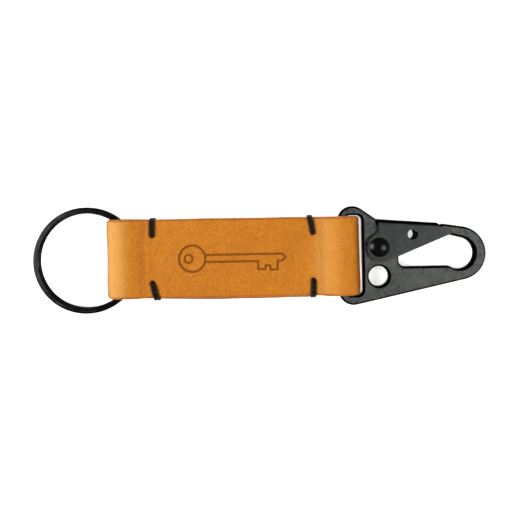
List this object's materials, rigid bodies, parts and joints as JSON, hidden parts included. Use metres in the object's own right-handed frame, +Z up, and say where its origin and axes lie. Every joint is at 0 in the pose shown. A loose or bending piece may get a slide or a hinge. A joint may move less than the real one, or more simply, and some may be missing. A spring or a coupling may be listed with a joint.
{
  "type": "key organiser",
  "caption": "Key organiser: a folded, hand-stitched leather strap holding a flat split ring at one end and a flat snap hook with a sprung gate at the other.",
  "frame": {"origin": "middle of the bounding box's bottom face, on the surface the strap's two folds lie on", "axes": "+X along the strap from the split ring to the snap hook, +Y across the strap towards the gate's side of the hook, +Z up out of the strap's front"},
  "size_m": [0.1488, 0.035, 0.008],
  "materials": {
    "leather": "satin",
    "black_steel": "satin",
    "spring_wire": "satin",
    "thread": "waxed"
  },
  "bodies": {
    "strap": {"leather_strap": "leather", "stitch_ring_top": "thread", "stitch_ring_bottom": "thread", "stitch_hook_top": "thread", "stitch_hook_bottom": "thread"},
    "ring": {"split_ring": "black_steel"},
    "hook": {"hook_body": "black_steel", "gate_rivet": "black_steel"},
    "gate_body": {"gate": "black_steel", "gate_spring": "spring_wire"}
  },
  "joints": [
    {"name": "ring_turn", "type": "hinge", "parent": "strap", "child": "ring", "pos_m": [-0.0569, 0, 0.004], "axis": [0, 0, 1], "continuous": true},
    {"name": "hook_swing", "type": "hinge", "parent": "strap", "child": "hook", "pos_m": [0.02755, 0, 0.004], "axis": [0, -1, 0], "range_deg": [-125, 125]},
    {"name": "gate_open", "type": "hinge", "parent": "hook", "child": "gate_body", "pos_m": [0.03921, 0.0026, 0.004], "axis": [0, 0, -1], "range_deg": [0, 25], "stiffness_Nm_per_rad": 0.03, "springref_deg": -20.05}
  ]
}
